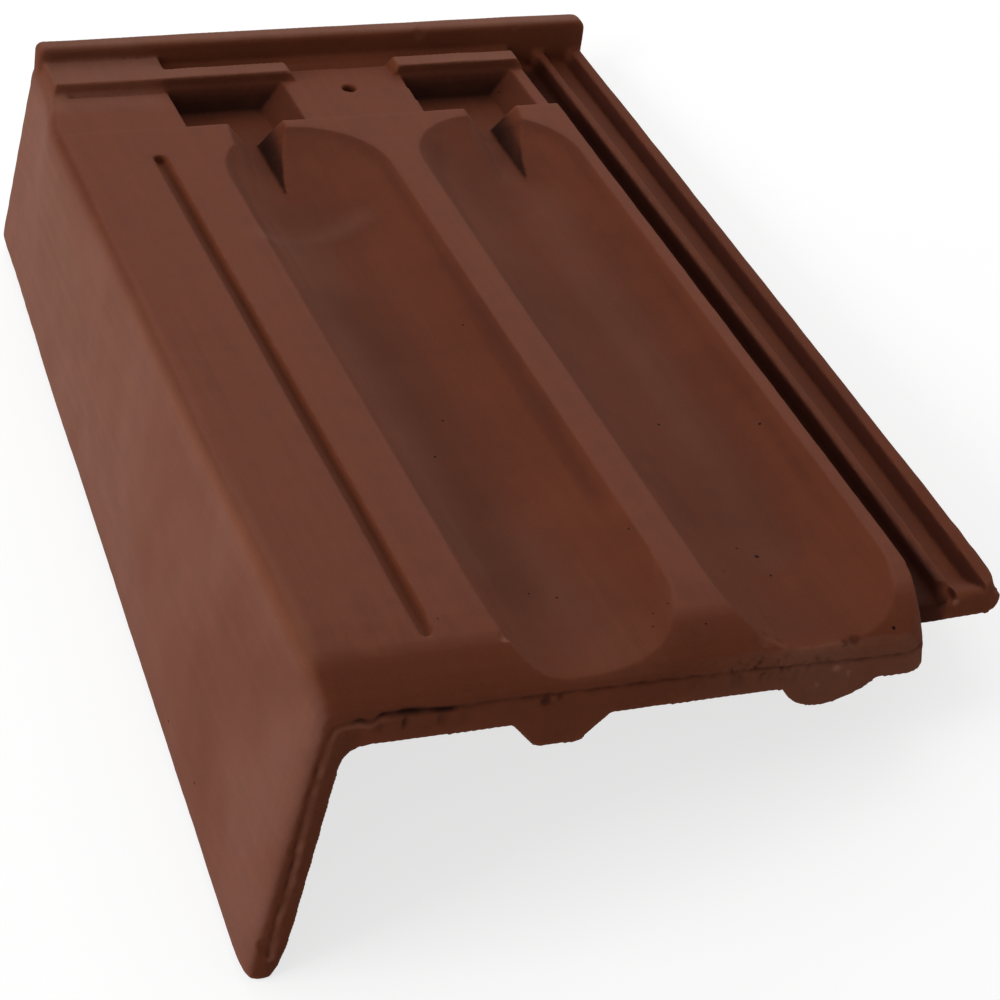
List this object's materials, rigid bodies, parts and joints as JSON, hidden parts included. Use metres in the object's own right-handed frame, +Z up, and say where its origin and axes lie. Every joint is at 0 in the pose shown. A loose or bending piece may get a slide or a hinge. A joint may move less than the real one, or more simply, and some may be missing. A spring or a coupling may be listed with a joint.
{
  "type": "interlocking clay verge tile",
  "caption": "Clay roof tile with two water troughs, interlocks at the head and one side, and a deep verge skirt folded down along the other side.",
  "frame": {"origin": "centre of the footprint, on the floor that the tile lies on", "axes": "+Y from the front edge to the head of the tile, +X from the skirt towards the side lock, +Z up. The tile lies unheld on a floor, on the foot of its skirt and the head corner of its side lock, so the plate is tilted down towards the lock."},
  "size_m": [0.3108, 0.4566, 0.1169],
  "materials": {
    "fired_clay": "matt"
  },
  "bodies": {
    "root": {"verge_tile": "fired_clay"}
  },
  "joints": []
}
